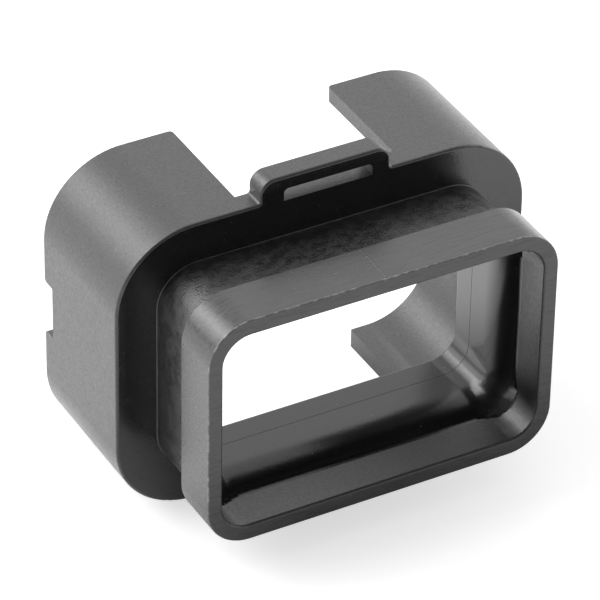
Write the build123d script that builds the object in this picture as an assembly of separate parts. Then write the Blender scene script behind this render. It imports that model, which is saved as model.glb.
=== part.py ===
from build123d import *
import os

# Backshell for a rectangular cable connector: one hollow moulding in black plastic.
# Lengths are in millimetres. X is across, +Y is to the rear, where the connector goes in, and +Z is up.
# The origin is on the tunnel's axis, in the plane of the flange's front face.

# Tunnel that the wires pass through
tunnel_width = 32.4
tunnel_height = 20.2
tunnel_radius = 2.9
tunnel_rear_round = 0.25

# Pocket in the collar's mouth, and the long curve from the tunnel's walls out to its walls
shoulder_side = 1.25
shoulder_top = 1.08
shoulder_curve = 5.0
pocket_radius = 3.0
pocket_depth = 4.25
pocket_edge_round = 0.25

# Collar round the mouth
collar_wall_side = 1.55
collar_wall_top = 1.73
collar_length = 5.5
collar_radius = 4.6
collar_edge_round = 0.15

# Neck between the collar and the flange
neck_wall_side = 1.88
neck_wall_top = 1.6
neck_length = 6.8
neck_radius = 4.3

# Flange plate
plate_thickness = 1.7
flange_edge_round = 0.3

# Shroud that slides over the connector
socket_width = 41.35
socket_height = 28.84
socket_radius = 6.7
socket_depth = 13.67
socket_floor_bevel = 0.4
socket_lead_in = 0.25
shroud_wall_side = 1.8
shroud_wall_top = 1.61
shroud_wall_bottom = 2.05
shroud_radius = 8.47

# Cut-outs in the top and bottom walls, open to the rear
latch_centre_x = 0.1
ledge_depth = 2.42
ledge_edge_round = 0.12
ledge_beside_tab = 1.6
bottom_cut_width = 23.8
rear_corner_round = 0.45

# Notches in the rear edges of the side walls
notch_height = 5.85
notch_depth = 1.62
notch_centre_z = -0.2

# Tie tab that stands on the ledge, and the slot through it
tab_width = 14.1
tab_rise = 2.45
tab_corner_radius = 1.45
tab_root_round = 0.35
slot_left_post = 2.47
slot_right_post = 1.97
slot_top_bar = 1.42
slot_height = 1.32
slot_corner_round = 0.5

# Room that a cutting tool takes past a face, so that it never ends on one
overrun = 2.0

# How near an edge or corner has to be to the place that picks it out
near = 0.01

# Sizes that follow from the ones above
top_cut_width = tab_width + 2 * ledge_beside_tab
pocket_width = tunnel_width + 2 * shoulder_side
pocket_height = tunnel_height + 2 * shoulder_top
collar_width = pocket_width + 2 * collar_wall_side
collar_height = pocket_height + 2 * collar_wall_top
neck_width = tunnel_width + 2 * neck_wall_side
neck_height = tunnel_height + 2 * neck_wall_top
shroud_width = socket_width + 2 * shroud_wall_side
shroud_top = socket_height / 2 + shroud_wall_top
shroud_bottom = -socket_height / 2 - shroud_wall_bottom
shroud_height = shroud_top - shroud_bottom
shroud_centre_z = (shroud_top + shroud_bottom) / 2

# Places along the depth, from the collar's mouth to the shroud's open end
y_mouth = -neck_length - collar_length
y_shoulder = y_mouth + pocket_depth
y_collar_rear = -neck_length
y_flange = 0.0
y_socket_floor = plate_thickness
y_ledge = ledge_depth
y_rear = plate_thickness + socket_depth

# How far behind the pocket's rear edge the curve leaves the tunnel's top and bottom walls
shoulder_reach = (shoulder_top * (2 * shoulder_curve - shoulder_top)) ** 0.5

# Half width and half height that hold the tunnel's edges
tunnel_mouth = (tunnel_width / 2 + near, tunnel_height / 2 + near)

tab_top = shroud_top + tab_rise
tab_left = latch_centre_x - tab_width / 2
tab_right = latch_centre_x + tab_width / 2


def across(y):
    """A drawing plane square to the depth at y, with +X to the right and +Z up."""
    return Plane.XZ.offset(-y)


def bar(width, height, radius, y_front, y_back, centre_z=0.0):
    """A bar with a rounded rectangular section, from y_front back to y_back."""
    section = across(y_back) * Pos(0, centre_z) * RectangleRounded(width, height, radius)
    return extrude(section, y_back - y_front)


def block(x_range, y_range, z_range):
    """A square-edged block between three pairs of limits."""
    size = [high - low for low, high in (x_range, y_range, z_range)]
    middle = [(high + low) / 2 for low, high in (x_range, y_range, z_range)]
    return Pos(*middle) * Box(*size)


def edges_at(solid, y, inside=None):
    """The edges that lie in the plane at y, all of them or only those within a half width and half height."""
    found = solid.edges().filter_by_position(Axis.Y, y - near, y + near)
    if inside is None:
        return found
    half_width, half_height = inside
    return found.filter_by(lambda e: abs(e.center().X) < half_width and abs(e.center().Z) < half_height)


def flange_outline():
    """The flange's outline with the tie tab standing out of its top edge, filleted at the tab's roots."""
    plate = Pos(0, shroud_centre_z) * RectangleRounded(shroud_width, shroud_height, shroud_radius)
    tab_height = tab_top - shroud_centre_z
    tab = Pos(latch_centre_x, shroud_centre_z + tab_height / 2) * Rectangle(tab_width, tab_height)
    crown = tab.vertices().group_by(Axis.Y)[-1]
    outline = plate + fillet(crown, tab_corner_radius)
    on_tab_side = lambda v: abs(abs(v.X - latch_centre_x) - tab_width / 2) < near
    roots = outline.vertices().filter_by(lambda v: on_tab_side(v) and abs(v.Y - shroud_top) < near)
    return fillet(roots, tab_root_round)


def front_slab():
    """Flange edge, ledge and tab in one thickness, with the front edges rounded and the slot cut through."""
    slab = extrude(across(y_ledge) * flange_outline(), y_ledge - y_flange)
    slab = fillet(edges_at(slab, y_flange), flange_edge_round)

    slot_left = tab_left + slot_left_post
    slot_right = tab_right - slot_right_post
    slot_ceiling = tab_top - slot_top_bar
    slot = Pos((slot_left + slot_right) / 2, slot_ceiling - slot_height / 2) * Rectangle(
        slot_right - slot_left, slot_height
    )
    slot = fillet(slot.vertices().group_by(Axis.Y)[-1], slot_corner_round)
    return slab - extrude(across(y_ledge + overrun) * slot, y_ledge - y_flange + 2 * overrun)


def rear_shroud():
    """The sleeve behind the slab, with its cut-outs, its notches and their rounded rear corners."""
    sleeve = bar(shroud_width, shroud_height, shroud_radius, y_ledge, y_rear, shroud_centre_z)
    sleeve -= bar(socket_width, socket_height, socket_radius, y_ledge - overrun, y_rear + overrun)

    behind_ledge = (y_ledge - overrun, y_rear + overrun)
    for cut_width, z_range in (
        (top_cut_width, (0, shroud_top + overrun)),
        (bottom_cut_width, (shroud_bottom - overrun, 0)),
    ):
        cut_x = (latch_centre_x - cut_width / 2, latch_centre_x + cut_width / 2)
        sleeve -= block(cut_x, behind_ledge, z_range)
    notch_x = (-shroud_width / 2 - overrun, shroud_width / 2 + overrun)
    notch_z = (notch_centre_z - notch_height / 2, notch_centre_z + notch_height / 2)
    sleeve -= block(notch_x, (y_rear - notch_depth, y_rear + overrun), notch_z)

    def beside_a_cut(edge):
        from_centre = abs(edge.center().X - latch_centre_x)
        return min(abs(from_centre - top_cut_width / 2), abs(from_centre - bottom_cut_width / 2)) < near

    def beside_a_notch(edge):
        return abs(abs(edge.center().Z - notch_centre_z) - notch_height / 2) < near

    ends = edges_at(sleeve, y_rear).filter_by(GeomType.LINE)
    corners = ends.filter_by(Axis.Z).filter_by(beside_a_cut) + ends.filter_by(Axis.X).filter_by(beside_a_notch)
    return fillet(corners, rear_corner_round)


def lead_in():
    """The flare that eases the connector into the socket's open end."""
    start = across(y_rear - socket_lead_in) * RectangleRounded(socket_width, socket_height, socket_radius)
    return extrude(start, -socket_lead_in - overrun, taper=-45)


def mouth():
    """The room in front of the tunnel: the pocket, and behind it a bell that narrows to the tunnel's walls."""
    curve_start = y_shoulder + shoulder_reach
    curve_end = curve_start - shoulder_curve
    margin = 2 * (shoulder_curve + overrun)
    ring = bar(tunnel_width + margin, tunnel_height + margin, tunnel_radius, curve_end, curve_start + overrun)
    ring -= bar(tunnel_width, tunnel_height, tunnel_radius, curve_end - overrun, curve_start + 2 * overrun)
    ring = fillet(edges_at(ring, curve_end, tunnel_mouth), shoulder_curve)
    return bar(pocket_width, pocket_height, pocket_radius, y_mouth - overrun, curve_start) - ring


def backshell():
    """The whole moulding: collar, neck, flange with its tab, and shroud, bored through from end to end."""
    body = front_slab() + rear_shroud()
    ledge_rim = edges_at(body, y_ledge).filter_by(lambda e: e.center().Z > shroud_top - near)
    body = fillet(ledge_rim, ledge_edge_round)
    body += bar(neck_width, neck_height, neck_radius, y_collar_rear, y_flange)
    body += bar(collar_width, collar_height, collar_radius, y_mouth, y_collar_rear)

    socket = bar(socket_width, socket_height, socket_radius, y_socket_floor, y_ledge + overrun)
    socket = chamfer(edges_at(socket, y_socket_floor), socket_floor_bevel)
    body -= socket
    body -= lead_in()
    body -= bar(tunnel_width, tunnel_height, tunnel_radius, y_mouth, y_socket_floor + overrun)
    body -= mouth()

    pocket_mouth = (pocket_width / 2 + near, pocket_height / 2 + near)
    body = fillet(edges_at(body, y_socket_floor, tunnel_mouth), tunnel_rear_round)
    body = fillet(edges_at(body, y_mouth, pocket_mouth), pocket_edge_round)
    rim_edges = edges_at(body, y_mouth).filter_by(
        lambda e: abs(e.center().X) > pocket_width / 2 + pocket_edge_round
        or abs(e.center().Z) > pocket_height / 2 + pocket_edge_round
    )
    return fillet(rim_edges, collar_edge_round)


part = backshell()
os.makedirs("parts", exist_ok=True)
part.label = "backshell"
export_step(part, "parts/backshell.step")
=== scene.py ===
import math

import bmesh
import bpy
import numpy as np
from mathutils import Matrix, Vector


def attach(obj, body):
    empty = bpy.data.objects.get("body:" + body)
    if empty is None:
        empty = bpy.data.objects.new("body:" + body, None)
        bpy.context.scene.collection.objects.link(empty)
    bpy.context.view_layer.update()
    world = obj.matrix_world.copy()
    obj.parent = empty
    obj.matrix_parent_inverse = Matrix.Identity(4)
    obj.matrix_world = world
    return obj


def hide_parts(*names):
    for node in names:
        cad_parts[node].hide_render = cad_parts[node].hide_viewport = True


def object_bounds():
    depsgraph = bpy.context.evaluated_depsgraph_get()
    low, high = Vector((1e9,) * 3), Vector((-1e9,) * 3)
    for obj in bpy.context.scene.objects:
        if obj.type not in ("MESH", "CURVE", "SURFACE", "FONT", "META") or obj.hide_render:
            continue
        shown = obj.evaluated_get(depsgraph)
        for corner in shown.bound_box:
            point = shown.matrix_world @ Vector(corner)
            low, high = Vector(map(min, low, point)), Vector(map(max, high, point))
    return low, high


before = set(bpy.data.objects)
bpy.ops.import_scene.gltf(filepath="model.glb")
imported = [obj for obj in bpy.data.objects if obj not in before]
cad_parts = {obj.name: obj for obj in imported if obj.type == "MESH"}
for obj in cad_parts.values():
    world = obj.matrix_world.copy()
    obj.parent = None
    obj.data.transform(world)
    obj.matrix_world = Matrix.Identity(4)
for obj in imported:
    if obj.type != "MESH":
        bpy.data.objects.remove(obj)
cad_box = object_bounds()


# The camera
# A long lens looks down on the part from the front left, as in a catalogue picture.
# Its place is fitted to the part's straight edges, in the row frame's metres.
CAMERA_PLACE = Vector((-0.179611, -0.314941, 0.259419))
CAMERA_AZIMUTH = math.radians(-29.348)
CAMERA_ELEVATION = math.radians(35.305)
CAMERA_ROLL = math.radians(1.074)
IMAGE_SIDE = 600
SENSOR_MM = 36.0
FOCAL_PIXELS = 4575.5

scene = bpy.context.scene
back = Vector((
    math.sin(CAMERA_AZIMUTH) * math.cos(CAMERA_ELEVATION),
    -math.cos(CAMERA_AZIMUTH) * math.cos(CAMERA_ELEVATION),
    math.sin(CAMERA_ELEVATION),
))
level_right = (-back).cross(Vector((0, 0, 1))).normalized()
level_up = level_right.cross(-back)
right = math.cos(CAMERA_ROLL) * level_right + math.sin(CAMERA_ROLL) * level_up
up = math.cos(CAMERA_ROLL) * level_up - math.sin(CAMERA_ROLL) * level_right

camera_data = bpy.data.cameras.new("camera")
camera_data.sensor_width = SENSOR_MM
camera_data.lens = SENSOR_MM * FOCAL_PIXELS / IMAGE_SIDE
camera = bpy.data.objects.new("camera", camera_data)
scene.collection.objects.link(camera)
turn = Matrix((right, up, back)).transposed().to_4x4()
camera.matrix_world = Matrix.Translation(CAMERA_PLACE) @ turn
scene.camera = camera
scene.view_settings.view_transform = "Standard"


# Shader maths
# A Maths value wraps one socket, so that a pattern on the plastic reads as a plain formula.
class Maths:
    """A number, colour or vector socket in one node tree, with the operators that are used."""

    def __init__(self, tree, socket):
        self.tree = tree
        self.socket = socket

    def node(self, kind, settings=None, output=0, **sockets):
        """An output of a new node with these settings and sockets, by name or as s0, s1."""
        made = self.tree.nodes.new(kind)
        for name, value in (settings or {}).items():
            setattr(made, name, value)
        for name, value in sockets.items():
            place = int(name[1:]) if name[1:].isdigit() else name.replace("_", " ")
            if isinstance(value, Maths):
                self.tree.links.new(value.socket, made.inputs[place])
            else:
                made.inputs[place].default_value = value
        return Maths(self.tree, made.outputs[output])

    def worked(self, operation, first, second=0.0):
        """What a Math node works out from two values."""
        return self.node("ShaderNodeMath", {"operation": operation}, s0=first, s1=second)

    def __add__(self, other):
        return self.worked("ADD", self, other)

    __radd__ = __add__

    def __sub__(self, other):
        return self.worked("SUBTRACT", self, other)

    def __rsub__(self, other):
        return self.worked("SUBTRACT", other, self)

    def __mul__(self, other):
        return self.worked("MULTIPLY", self, other)

    __rmul__ = __mul__

    def __abs__(self):
        return self.worked("ABSOLUTE", self)

    def below(self, limit):
        """One where the value is under the limit, and nought elsewhere."""
        return self.worked("LESS_THAN", self, limit)

    def between(self, low, high):
        """Nought at low and one at high, with a smooth change from one to the other."""
        smooth = {"interpolation_type": "SMOOTHSTEP"}
        return self.node("ShaderNodeMapRange", smooth, Value=self, From_Min=low, From_Max=high)

    def axis(self, name):
        """One coordinate of a vector."""
        return self.node("ShaderNodeSeparateXYZ", output=name, s0=self)

    def grey(self):
        """The grey of this brightness."""
        return self.node("ShaderNodeCombineColor", Red=self, Green=self, Blue=self)


def places(tree):
    """The places on a surface, in its object's own metres."""
    return Maths(tree, tree.nodes.new("ShaderNodeTexCoord").outputs["Object"])


def link(shader, socket, value):
    """Let a Maths value set one of the shader's sockets."""
    value.tree.links.new(value.socket, shader.inputs[socket])


# The surroundings
# A white room with a grey cloth hung over the camera and the part. The plastic mirrors the white
# behind it on its flat faces, and the cloth on its rounded front edges.
WHITE = (1, 1, 1, 1)
ROOM_LEVEL = 1.0

world = bpy.data.worlds.new("studio")
scene.world = world
world.use_nodes = True
world.node_tree.nodes["Background"].inputs["Color"].default_value = WHITE
world.node_tree.nodes["Background"].inputs["Strength"].default_value = ROOM_LEVEL


def toward(azimuth, elevation):
    """The unit vector at an azimuth from +Y towards +X and an elevation, both in degrees."""
    a, e = math.radians(azimuth), math.radians(elevation)
    return Vector((math.sin(a) * math.cos(e), math.cos(a) * math.cos(e), math.sin(e)))


# The cloth is part of a ball round the part: its points lie at CLOTH_FAR from the origin, on rings
# about the cloth's middle, out to the angle CLOTH_HALF.
CLOTH_MIDDLE = toward(-165, 42)
CLOTH_HOLE = 0.001
CLOTH_HALF = math.radians(56)
CLOTH_FAR = 1.2
CLOTH_LEVEL = 0.2
RINGS = 24
SPOKES = 64

ring = np.linspace(CLOTH_HOLE, CLOTH_HALF, RINGS)[:, None, None]
spoke = np.linspace(0, 2 * math.pi, SPOKES, endpoint=False)[None, :, None]
middle = np.array(CLOTH_MIDDLE)
side_a = np.array(CLOTH_MIDDLE.orthogonal().normalized())
side_b = np.cross(middle, side_a)
outward = np.cos(spoke) * side_a + np.sin(spoke) * side_b
cloth_points = CLOTH_FAR * (np.cos(ring) * middle + np.sin(ring) * outward).reshape(-1, 3)
start = np.arange(RINGS - 1)[:, None] * SPOKES
here = start + np.arange(SPOKES)[None, :]
after = start + (np.arange(SPOKES)[None, :] + 1) % SPOKES
cloth_faces = np.stack([here, after, after + SPOKES, here + SPOKES], -1).reshape(-1, 4)

cloth_mesh = bpy.data.meshes.new("cloth")
cloth_mesh.from_pydata(cloth_points.tolist(), [], cloth_faces.tolist())
cloth = bpy.data.objects.new("cloth", cloth_mesh)
scene.collection.objects.link(cloth)
cloth.visible_camera = False
cloth_material = bpy.data.materials.new("grey_cloth")
cloth_material.use_nodes = True
cloth_shader = cloth_material.node_tree.nodes["Principled BSDF"]
cloth_shader.inputs["Base Color"].default_value = (0, 0, 0, 1)
cloth_shader.inputs["Roughness"].default_value = 1.0
cloth_shader.inputs["Specular IOR Level"].default_value = 0.0
cloth_shader.inputs["Emission Color"].default_value = WHITE
cloth_shader.inputs["Emission Strength"].default_value = CLOTH_LEVEL
cloth_mesh.materials.append(cloth_material)

# Square soft lamps: the azimuth and elevation where each stands, how far and how wide in metres,
# and how bright its face is beside white.
LAMPS = (
    ("lamp_left", -58, 48, 1.0, 0.75, 3.4),
    ("lamp_behind", 15, 30, 1.0, 0.6, 0.3),
    ("lamp_behind_left", -46, 30, 1.3, 0.9, 1.7),
    ("lamp_right", 80, 15, 1.0, 0.5, 2.6),
)
for name, azimuth, elevation, far, wide, level in LAMPS:
    lamp_data = bpy.data.lights.new(name, "AREA")
    lamp_data.shape = "SQUARE"
    lamp_data.size = wide
    lamp_data.energy = level * math.pi * wide * wide
    lamp = bpy.data.objects.new(name, lamp_data)
    scene.collection.objects.link(lamp)
    place = far * toward(azimuth, elevation)
    facing = place.to_track_quat("Z", "Y").to_matrix().to_4x4()
    lamp.matrix_world = Matrix.Translation(place) @ facing

# The floor is a pale sheet just under the part. It reads white to the camera but for the part's
# shadow. In reflections it carries painted light: a glow that only mirrored and refracted rays see,
# brighter behind the part, standing in for the lamps' light on it, and far in front. Each change
# lies between two depths in metres, and the one behind runs aslant.
FLOOR_HALF = 1.1
FLOOR_GAP = 0.00002
FLOOR_COLOUR = (0.66, 0.66, 0.66, 1)
FLOOR_ROUGHNESS = 0.9
FLOOR_GLOW = 0.62
PAINTED_GLOW_BEHIND = 0.52
CHANGE_BEHIND = (0.0, 0.02)
SLANT_BEHIND = 0.5
PAINTED_GLOW_FRONT = 0.4
CHANGE_FRONT = (-0.018, -0.034)

floor_z = cad_box[0].z - FLOOR_GAP
corners = ((-1, -1), (1, -1), (1, 1), (-1, 1))
floor_mesh = bpy.data.meshes.new("floor")
floor_mesh.from_pydata(
    [(x * FLOOR_HALF, y * FLOOR_HALF, floor_z) for x, y in corners], [], [(0, 1, 2, 3)]
)
floor = bpy.data.objects.new("floor", floor_mesh)
scene.collection.objects.link(floor)
floor_material = bpy.data.materials.new("pale_floor")
floor_material.use_nodes = True
floor_tree = floor_material.node_tree
floor_shader = floor_tree.nodes["Principled BSDF"]
floor_shader.inputs["Base Color"].default_value = FLOOR_COLOUR
floor_shader.inputs["Roughness"].default_value = FLOOR_ROUGHNESS
ray_kinds = floor_tree.nodes.new("ShaderNodeLightPath").outputs
to_camera = Maths(floor_tree, ray_kinds["Is Camera Ray"])
in_mirror = Maths(floor_tree, ray_kinds["Is Glossy Ray"])
through_glass = Maths(floor_tree, ray_kinds["Is Transmission Ray"])
across, depth = (places(floor_tree).axis(name) for name in "XY")
behind = (depth - across * SLANT_BEHIND).between(*CHANGE_BEHIND)
in_front = depth.between(*CHANGE_FRONT)
# Painted light on the floor, seen only in reflections: brighter behind the part and far in front.
painted_reflected_glow = behind * PAINTED_GLOW_BEHIND + in_front * PAINTED_GLOW_FRONT
floor_shader.inputs["Emission Color"].default_value = WHITE
glow = to_camera * FLOOR_GLOW + (in_mirror + through_glass) * painted_reflected_glow
link(floor_shader, "Emission Strength", glow)
floor_mesh.materials.append(floor_material)


# The moulding
# One piece of black plastic. Its CAD mesh is loose triangles, so a copy is merged and shaded smooth
# between its sharp edges, and stands for the node.
SHARP_ANGLE = math.radians(50)
MERGE_DISTANCE = 1e-7
TO_MILLIMETRES = 1000


def merged_copy(source, name):
    """The source's mesh, its doubled corners joined, smooth but for edges over SHARP_ANGLE."""
    work = bmesh.new()
    work.from_mesh(source.data)
    bmesh.ops.remove_doubles(work, verts=work.verts, dist=MERGE_DISTANCE)
    mesh = bpy.data.meshes.new(name)
    work.to_mesh(mesh)
    work.free()
    mesh.attributes.remove(mesh.attributes["custom_normal"])
    mesh.polygons.foreach_set("use_smooth", np.ones(len(mesh.polygons), bool))
    mesh.set_sharp_from_angle(angle=SHARP_ANGLE)
    return mesh


def beyond(points, half_width, half_height, radius):
    """How far points lie outside a rounded rectangle about the axis, all in millimetres."""
    over_x = np.abs(points[:, 0]) - (half_width - radius)
    over_z = np.abs(points[:, 2]) - (half_height - radius)
    in_corner = (over_x > 0) & (over_z > 0)
    return np.where(in_corner, np.hypot(over_x, over_z), np.maximum(over_x, over_z)) - radius


# The tunnel's walls curve out to the pocket. In the photograph the curve is longer and softer than
# the solid's, so the copy's points on it slide along the axis: y = start - sqrt(d (2 r - d)) for a
# depth d and a radius r.
TUNNEL_HALF = (16.2, 10.1)
TUNNEL_RADIUS = 2.9
POCKET_REAR_Y = -8.05
CURVE_DEPTH = 1.08
SOLID_CURVE = 5.0
LONG_CURVE = 9.0
ON_CURVE = 0.02


def curve_place(depth, radius):
    """Where along Y a curve has this depth, when it has CURVE_DEPTH at the pocket's rear."""
    reach = math.sqrt(CURVE_DEPTH * (2 * radius - CURVE_DEPTH))
    return POCKET_REAR_Y + reach - np.sqrt(depth * (2 * radius - depth))


def lengthen_curve(mesh):
    """Slide the mesh's points that lie on the solid's curve to the longer curve."""
    points = np.empty(len(mesh.vertices) * 3)
    mesh.vertices.foreach_get("co", points)
    points = points.reshape(-1, 3) * TO_MILLIMETRES
    depth = np.clip(beyond(points, *TUNNEL_HALF, TUNNEL_RADIUS), 0, SOLID_CURVE)
    on_curve = np.abs(points[:, 1] - curve_place(depth, SOLID_CURVE)) < ON_CURVE
    on_curve &= depth < 2 * CURVE_DEPTH
    points[on_curve, 1] = curve_place(depth[on_curve], LONG_CURVE)
    mesh.vertices.foreach_set("co", (points / TO_MILLIMETRES).ravel())


moulding = bpy.data.objects.new("moulding", merged_copy(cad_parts["backshell"], "moulding"))
lengthen_curve(moulding.data)
scene.collection.objects.link(moulding)
weighted = moulding.modifiers.new("flat_faces", "WEIGHTED_NORMAL")
weighted.keep_sharp = True
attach(moulding, "root")
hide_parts("backshell")


# The finishes
# The shroud, tab and collar have a spark texture, drawn out on the collar. The collar's front edge
# is paler, partly for wear and partly as a painted highlight along the edge. The neck is coarser
# and the flange's face plain. The tunnel is polished, with a parting line, and the pocket in front
# of it is duller. The first four values are base colours.
BLACK = 0.008
DUST = 0.14
# The next two are the collar front edge's paler base colours: partly wear, partly a painted
# highlight and glints.
EDGE_WEAR_AND_HIGHLIGHT = 0.1
EDGE_PATCHES_WEAR_AND_GLINT = 0.26


def black_plastic(name, coat_roughness, coat=1.0, specular=0.6):
    """A new black material with a thin clear skin, and the places on it in millimetres."""
    made = bpy.data.materials.new(name)
    made.use_nodes = True
    shader = made.node_tree.nodes["Principled BSDF"]
    shader.inputs["Base Color"].default_value = (BLACK, BLACK, BLACK, 1)
    shader.inputs["Specular IOR Level"].default_value = specular
    shader.inputs["Coat Weight"].default_value = coat
    shader.inputs["Coat Roughness"].default_value = coat_roughness
    metres = places(made.node_tree)
    scale = {"operation": "SCALE"}
    place = metres.node("ShaderNodeVectorMath", scale, s0=metres, Scale=TO_MILLIMETRES)
    return made, shader, place


def vary(shader, socket, pattern, low, high):
    """Let a pattern take one of the shader's sockets from low, at nought, to high, at one."""
    link(shader, socket, pattern * (high - low) + low)


def grain(place, size, detail=2.0):
    """Cloudy noise about a half, in patches of this size in millimetres."""
    return place.node("ShaderNodeTexNoise", Vector=place, Scale=1 / size, Detail=detail)


def stretched(place, along):
    """The places squeezed so that a pattern on them is drawn out this many times along X."""
    multiply = {"operation": "MULTIPLY"}
    return place.node("ShaderNodeVectorMath", multiply, s0=place, s1=(1 / along, 1, 1))


def relief(shader, height, rise):
    """Raise the surface by the height pattern, whose full range is this rise in millimetres."""
    distance = rise / TO_MILLIMETRES
    bump = height.node("ShaderNodeBump", Strength=1.0, Distance=distance, Height=height)
    link(shader, "Normal", bump)


def dust(shader, place, spacing, size):
    """Sparse pale specks, where the surface cuts a small ball in a cell of this spacing."""
    cells = place.node("ShaderNodeTexVoronoi", output="Distance", Vector=place, Scale=1 / spacing)
    tint = cells.below(size / spacing) * (DUST - BLACK) + BLACK
    link(shader, "Base Color", tint.grey())


def textured_plastic():
    """The shroud and the tab: an even fine spark texture."""
    made, shader, place = black_plastic("textured_plastic", coat_roughness=0.4)
    spark = grain(place, size=0.24)
    vary(shader, "Coat Weight", spark, 0.35, 1.55)
    vary(shader, "Roughness", grain(place, size=0.6), 0.3, 0.5)
    relief(shader, spark, rise=0.035)
    dust(shader, place, spacing=1.4, size=0.055)
    return made


def collar_plastic():
    """The collar: the same texture, drawn out round it by the mould's polish."""
    made, shader, place = black_plastic("collar_plastic", coat_roughness=0.26)
    streaks = grain(stretched(place, along=9), size=0.35, detail=4.0)
    vary(shader, "Coat Weight", streaks, 0.15, 1.55)
    vary(shader, "Roughness", streaks, 0.06, 0.56)
    relief(shader, grain(place, size=0.22), rise=0.015)
    dust(shader, place, spacing=1.4, size=0.055)
    return made


def edge_plastic():
    """The collar's front edge: a little pale, partly wear and partly a painted highlight, and paler
    here and there.
    """
    made, shader, place = black_plastic("edge_plastic", coat_roughness=0.4, coat=0.8)
    # Paler patches on the edge: wear, and painted glints.
    wear_and_glint_patches = grain(place, size=0.8, detail=4.0).between(0.45, 0.65)
    tint = wear_and_glint_patches * (EDGE_PATCHES_WEAR_AND_GLINT - EDGE_WEAR_AND_HIGHLIGHT) + EDGE_WEAR_AND_HIGHLIGHT
    link(shader, "Base Color", tint.grey())
    shader.inputs["Roughness"].default_value = 0.4
    return made


def neck_plastic():
    """The neck: a coarse, uneven polish with duller patches."""
    made, shader, place = black_plastic("neck_plastic", coat_roughness=0.34, specular=1.0)
    patches = grain(place, size=0.8, detail=6.0)
    vary(shader, "Coat Weight", patches.between(0.3, 0.7), 0.0, 0.7)
    vary(shader, "Roughness", patches.between(0.35, 0.65), 0.28, 0.48)
    relief(shader, grain(place, size=0.17, detail=1.0), rise=0.06)
    dust(shader, place, spacing=0.9, size=0.05)
    return made


def flange_plastic():
    """The flange's face: plain and fairly smooth."""
    made, shader, place = black_plastic("flange_plastic", coat_roughness=0.22)
    vary(shader, "Roughness", grain(place, size=0.9, detail=5.0), 0.12, 0.36)
    relief(shader, grain(place, size=0.3), rise=0.02)
    dust(shader, place, spacing=1.2, size=0.05)
    return made


def pocket_plastic():
    """The pocket: duller than the tunnel, with a grain that breaks up its highlights."""
    made, shader, place = black_plastic("pocket_plastic", coat_roughness=0.36)
    speckle = grain(place, size=0.2)
    vary(shader, "Coat Weight", speckle, 0.1, 1.5)
    vary(shader, "Roughness", grain(place, size=0.7, detail=4.0), 0.27, 0.57)
    relief(shader, speckle, rise=0.03)
    dust(shader, place, spacing=1.0, size=0.05)
    return made


# The two halves of the mould's core meet this far in front of the flange's face, in a fine dark
# line. The core's sides are polished more than its top and bottom, and the change is this wide.
PARTING_Y = -1.15
PARTING_WIDTH = 0.07
PARTING_ROUGHER = 0.5
CLOUDS_ROUGHNESS = (0.13, 0.27)
SIDE_BLEND = 0.6
SIDE_COAT = 1.0
TUNNEL_COAT = 0.25


def bore_plastic():
    """The tunnel and its mouth: polished, most of all at the sides, with the parting line."""
    made, shader, place = black_plastic("bore_plastic", coat_roughness=0.16)
    x, y = (place.axis(name) for name in "XY")
    line = abs(y - PARTING_Y).below(PARTING_WIDTH / 2)
    side_wall = abs(x).between(TUNNEL_HALF[0] - SIDE_BLEND, TUNNEL_HALF[0])
    coat = side_wall * (SIDE_COAT - TUNNEL_COAT) + TUNNEL_COAT
    link(shader, "Coat Weight", coat * (1.0 - line))
    low, high = CLOUDS_ROUGHNESS
    clouds = grain(place, size=0.7, detail=4.0) * (high - low) + low
    link(shader, "Roughness", clouds + line * PARTING_ROUGHER)
    relief(shader, grain(place, size=0.35, detail=4.0), rise=0.01)
    dust(shader, place, spacing=1.0, size=0.05)
    return made


PLASTICS = (
    textured_plastic,
    collar_plastic,
    edge_plastic,
    neck_plastic,
    flange_plastic,
    pocket_plastic,
    bore_plastic,
)
for plastic in PLASTICS:
    moulding.data.materials.append(plastic())
TEXTURED, COLLAR, EDGE, NECK, FLANGE, POCKET, BORE = range(len(PLASTICS))

# Where each finish lies, in millimetres. A face takes its finish from where its middle is. INSIDE
# and EDGE_INNER are rounded rectangles: half width, half height and corner radius.
INSIDE = (17.6, 11.3, 3.0)
SOCKET_FLOOR_Y = 1.66
POCKET_Y = -8.7
COLLAR_REAR_Y = -6.75
FLANGE_BAND = 0.02
EDGE_Y = (-12.295, -12.155)
EDGE_INNER = (18.8, 12.7, 4.4)

count = len(moulding.data.polygons)
middles = np.empty(count * 3)
moulding.data.polygons.foreach_get("center", middles)
middles = middles.reshape(count, 3) * TO_MILLIMETRES
y_middle = middles[:, 1]
in_bore = (beyond(middles, *INSIDE) <= 0) & (y_middle < SOCKET_FLOOR_Y)
on_edge = (y_middle > EDGE_Y[0]) & (y_middle < EDGE_Y[1]) & (beyond(middles, *EDGE_INNER) > 0)

finish = np.full(count, FLANGE, np.int32)
finish[y_middle > FLANGE_BAND] = TEXTURED
finish[in_bore] = BORE
finish[in_bore & (y_middle < POCKET_Y)] = POCKET
finish[(y_middle < -FLANGE_BAND) & ~in_bore] = NECK
finish[(y_middle < COLLAR_REAR_Y) & ~in_bore] = COLLAR
finish[on_edge] = EDGE
moulding.data.polygons.foreach_set("material_index", finish)


# The beads
# The mould leaves a fine raised line along the middle of the collar and the neck, above and below,
# and a small round in the corner between the neck and the flange.
NECK_HALF = (18.08, 11.7)
NECK_RADIUS = 4.3
COLLAR_HALF_HEIGHT = 12.91
COLLAR_Y = (-12.1, -6.85)
NECK_Y = (-6.7, -0.3)
LINE_HALF_WIDTH = 0.1
COLLAR_RISE = 0.06
NECK_RISE = 0.03
ROOT_RADIUS = 0.1
SUNK = 0.02
LINE_STEPS = 9
ROOT_STEPS = 8
CORNER_STEPS = 12


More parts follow.
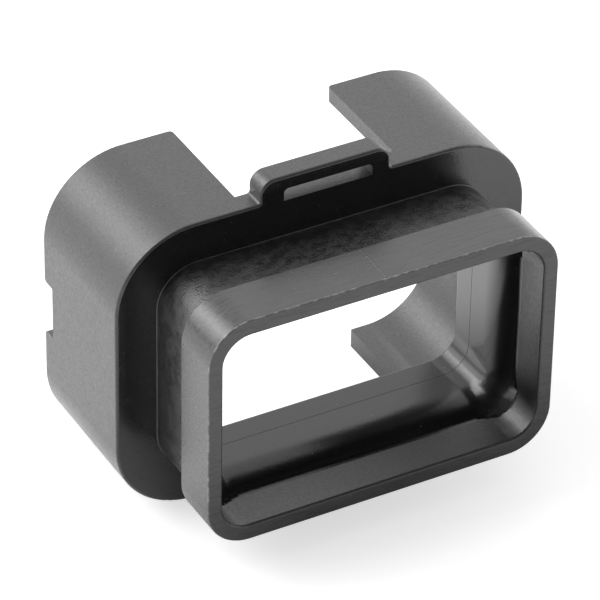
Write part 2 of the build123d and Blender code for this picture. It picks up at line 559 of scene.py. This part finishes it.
def piece(name, points, faces, material):
    """A new visible piece of the moulding, from points in millimetres."""
    mesh = bpy.data.meshes.new(name)
    points = np.asarray(points) / TO_MILLIMETRES
    mesh.from_pydata(points.tolist(), [], [list(map(int, f)) for f in faces])
    mesh.polygons.foreach_set("use_smooth", np.ones(len(mesh.polygons), bool))
    mesh.set_sharp_from_angle(angle=SHARP_ANGLE)
    mesh.materials.append(material)
    made = bpy.data.objects.new(name, mesh)
    scene.collection.objects.link(made)
    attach(made, "root")


def mould_line(name, side, half_height, rise, y_range, material):
    """A ridge along Y: x = w cos t, z = side (h + rise sin t) for t from 0 to pi, closed below."""
    t = np.linspace(0, math.pi, LINE_STEPS)
    x = np.append(LINE_HALF_WIDTH * np.cos(t), [-LINE_HALF_WIDTH, LINE_HALF_WIDTH])
    z = np.append(half_height + rise * np.sin(t), [half_height - SUNK] * 2)
    n = len(x)
    points = [(a, y, side * b) for y in y_range for a, b in zip(x, z)]
    faces = [(i, (i + 1) % n, (i + 1) % n + n, i + n) for i in range(n)]
    faces += [range(n - 1, -1, -1), range(n, 2 * n)]
    if side < 0:
        faces = [list(f)[::-1] for f in faces]
    piece(name, points, faces, material)


def rounded_outline(half_width, half_height, radius):
    """Points of a rounded rectangle in the XZ plane and their outward directions."""
    points, out = [], []
    for corner, (side_x, side_z) in enumerate([(1, 1), (-1, 1), (-1, -1), (1, -1)]):
        centre = np.array((side_x * (half_width - radius), side_z * (half_height - radius)))
        for turn in np.linspace(0, math.pi / 2, CORNER_STEPS) + corner * math.pi / 2:
            direction = np.array((math.cos(turn), math.sin(turn)))
            points.append(centre + radius * direction)
            out.append(direction)
    return np.array(points), np.array(out)


def neck_root(material):
    """A hollow round swept round the neck: out = r (1 - sin v), y = -r (1 - cos v), v to pi / 2."""
    v = np.linspace(0, math.pi / 2, ROOT_STEPS)
    out = np.append(ROOT_RADIUS * (1 - np.sin(v)), [-SUNK, -SUNK, ROOT_RADIUS])
    y = np.append(-ROOT_RADIUS * (1 - np.cos(v)), [-ROOT_RADIUS, SUNK, SUNK])
    spine, away = rounded_outline(*NECK_HALF, NECK_RADIUS)
    m, n = len(spine), len(out)
    points = [
        (p[0] + o * d[0], b, p[1] + o * d[1])
        for p, d in zip(spine, away)
        for o, b in zip(out, y)
    ]
    faces = [
        (i * n + j, i * n + (j + 1) % n, (i + 1) % m * n + (j + 1) % n, (i + 1) % m * n + j)
        for i in range(m)
        for j in range(n)
    ]
    piece("neck_root", points, faces, material)


collar, neck = (moulding.data.materials[number] for number in (COLLAR, NECK))
for side, where in ((1, "top"), (-1, "bottom")):
    mould_line("collar_line_" + where, side, COLLAR_HALF_HEIGHT, COLLAR_RISE, COLLAR_Y, collar)
    mould_line("neck_line_" + where, side, NECK_HALF[1], NECK_RISE, NECK_Y, neck)
neck_root(neck)
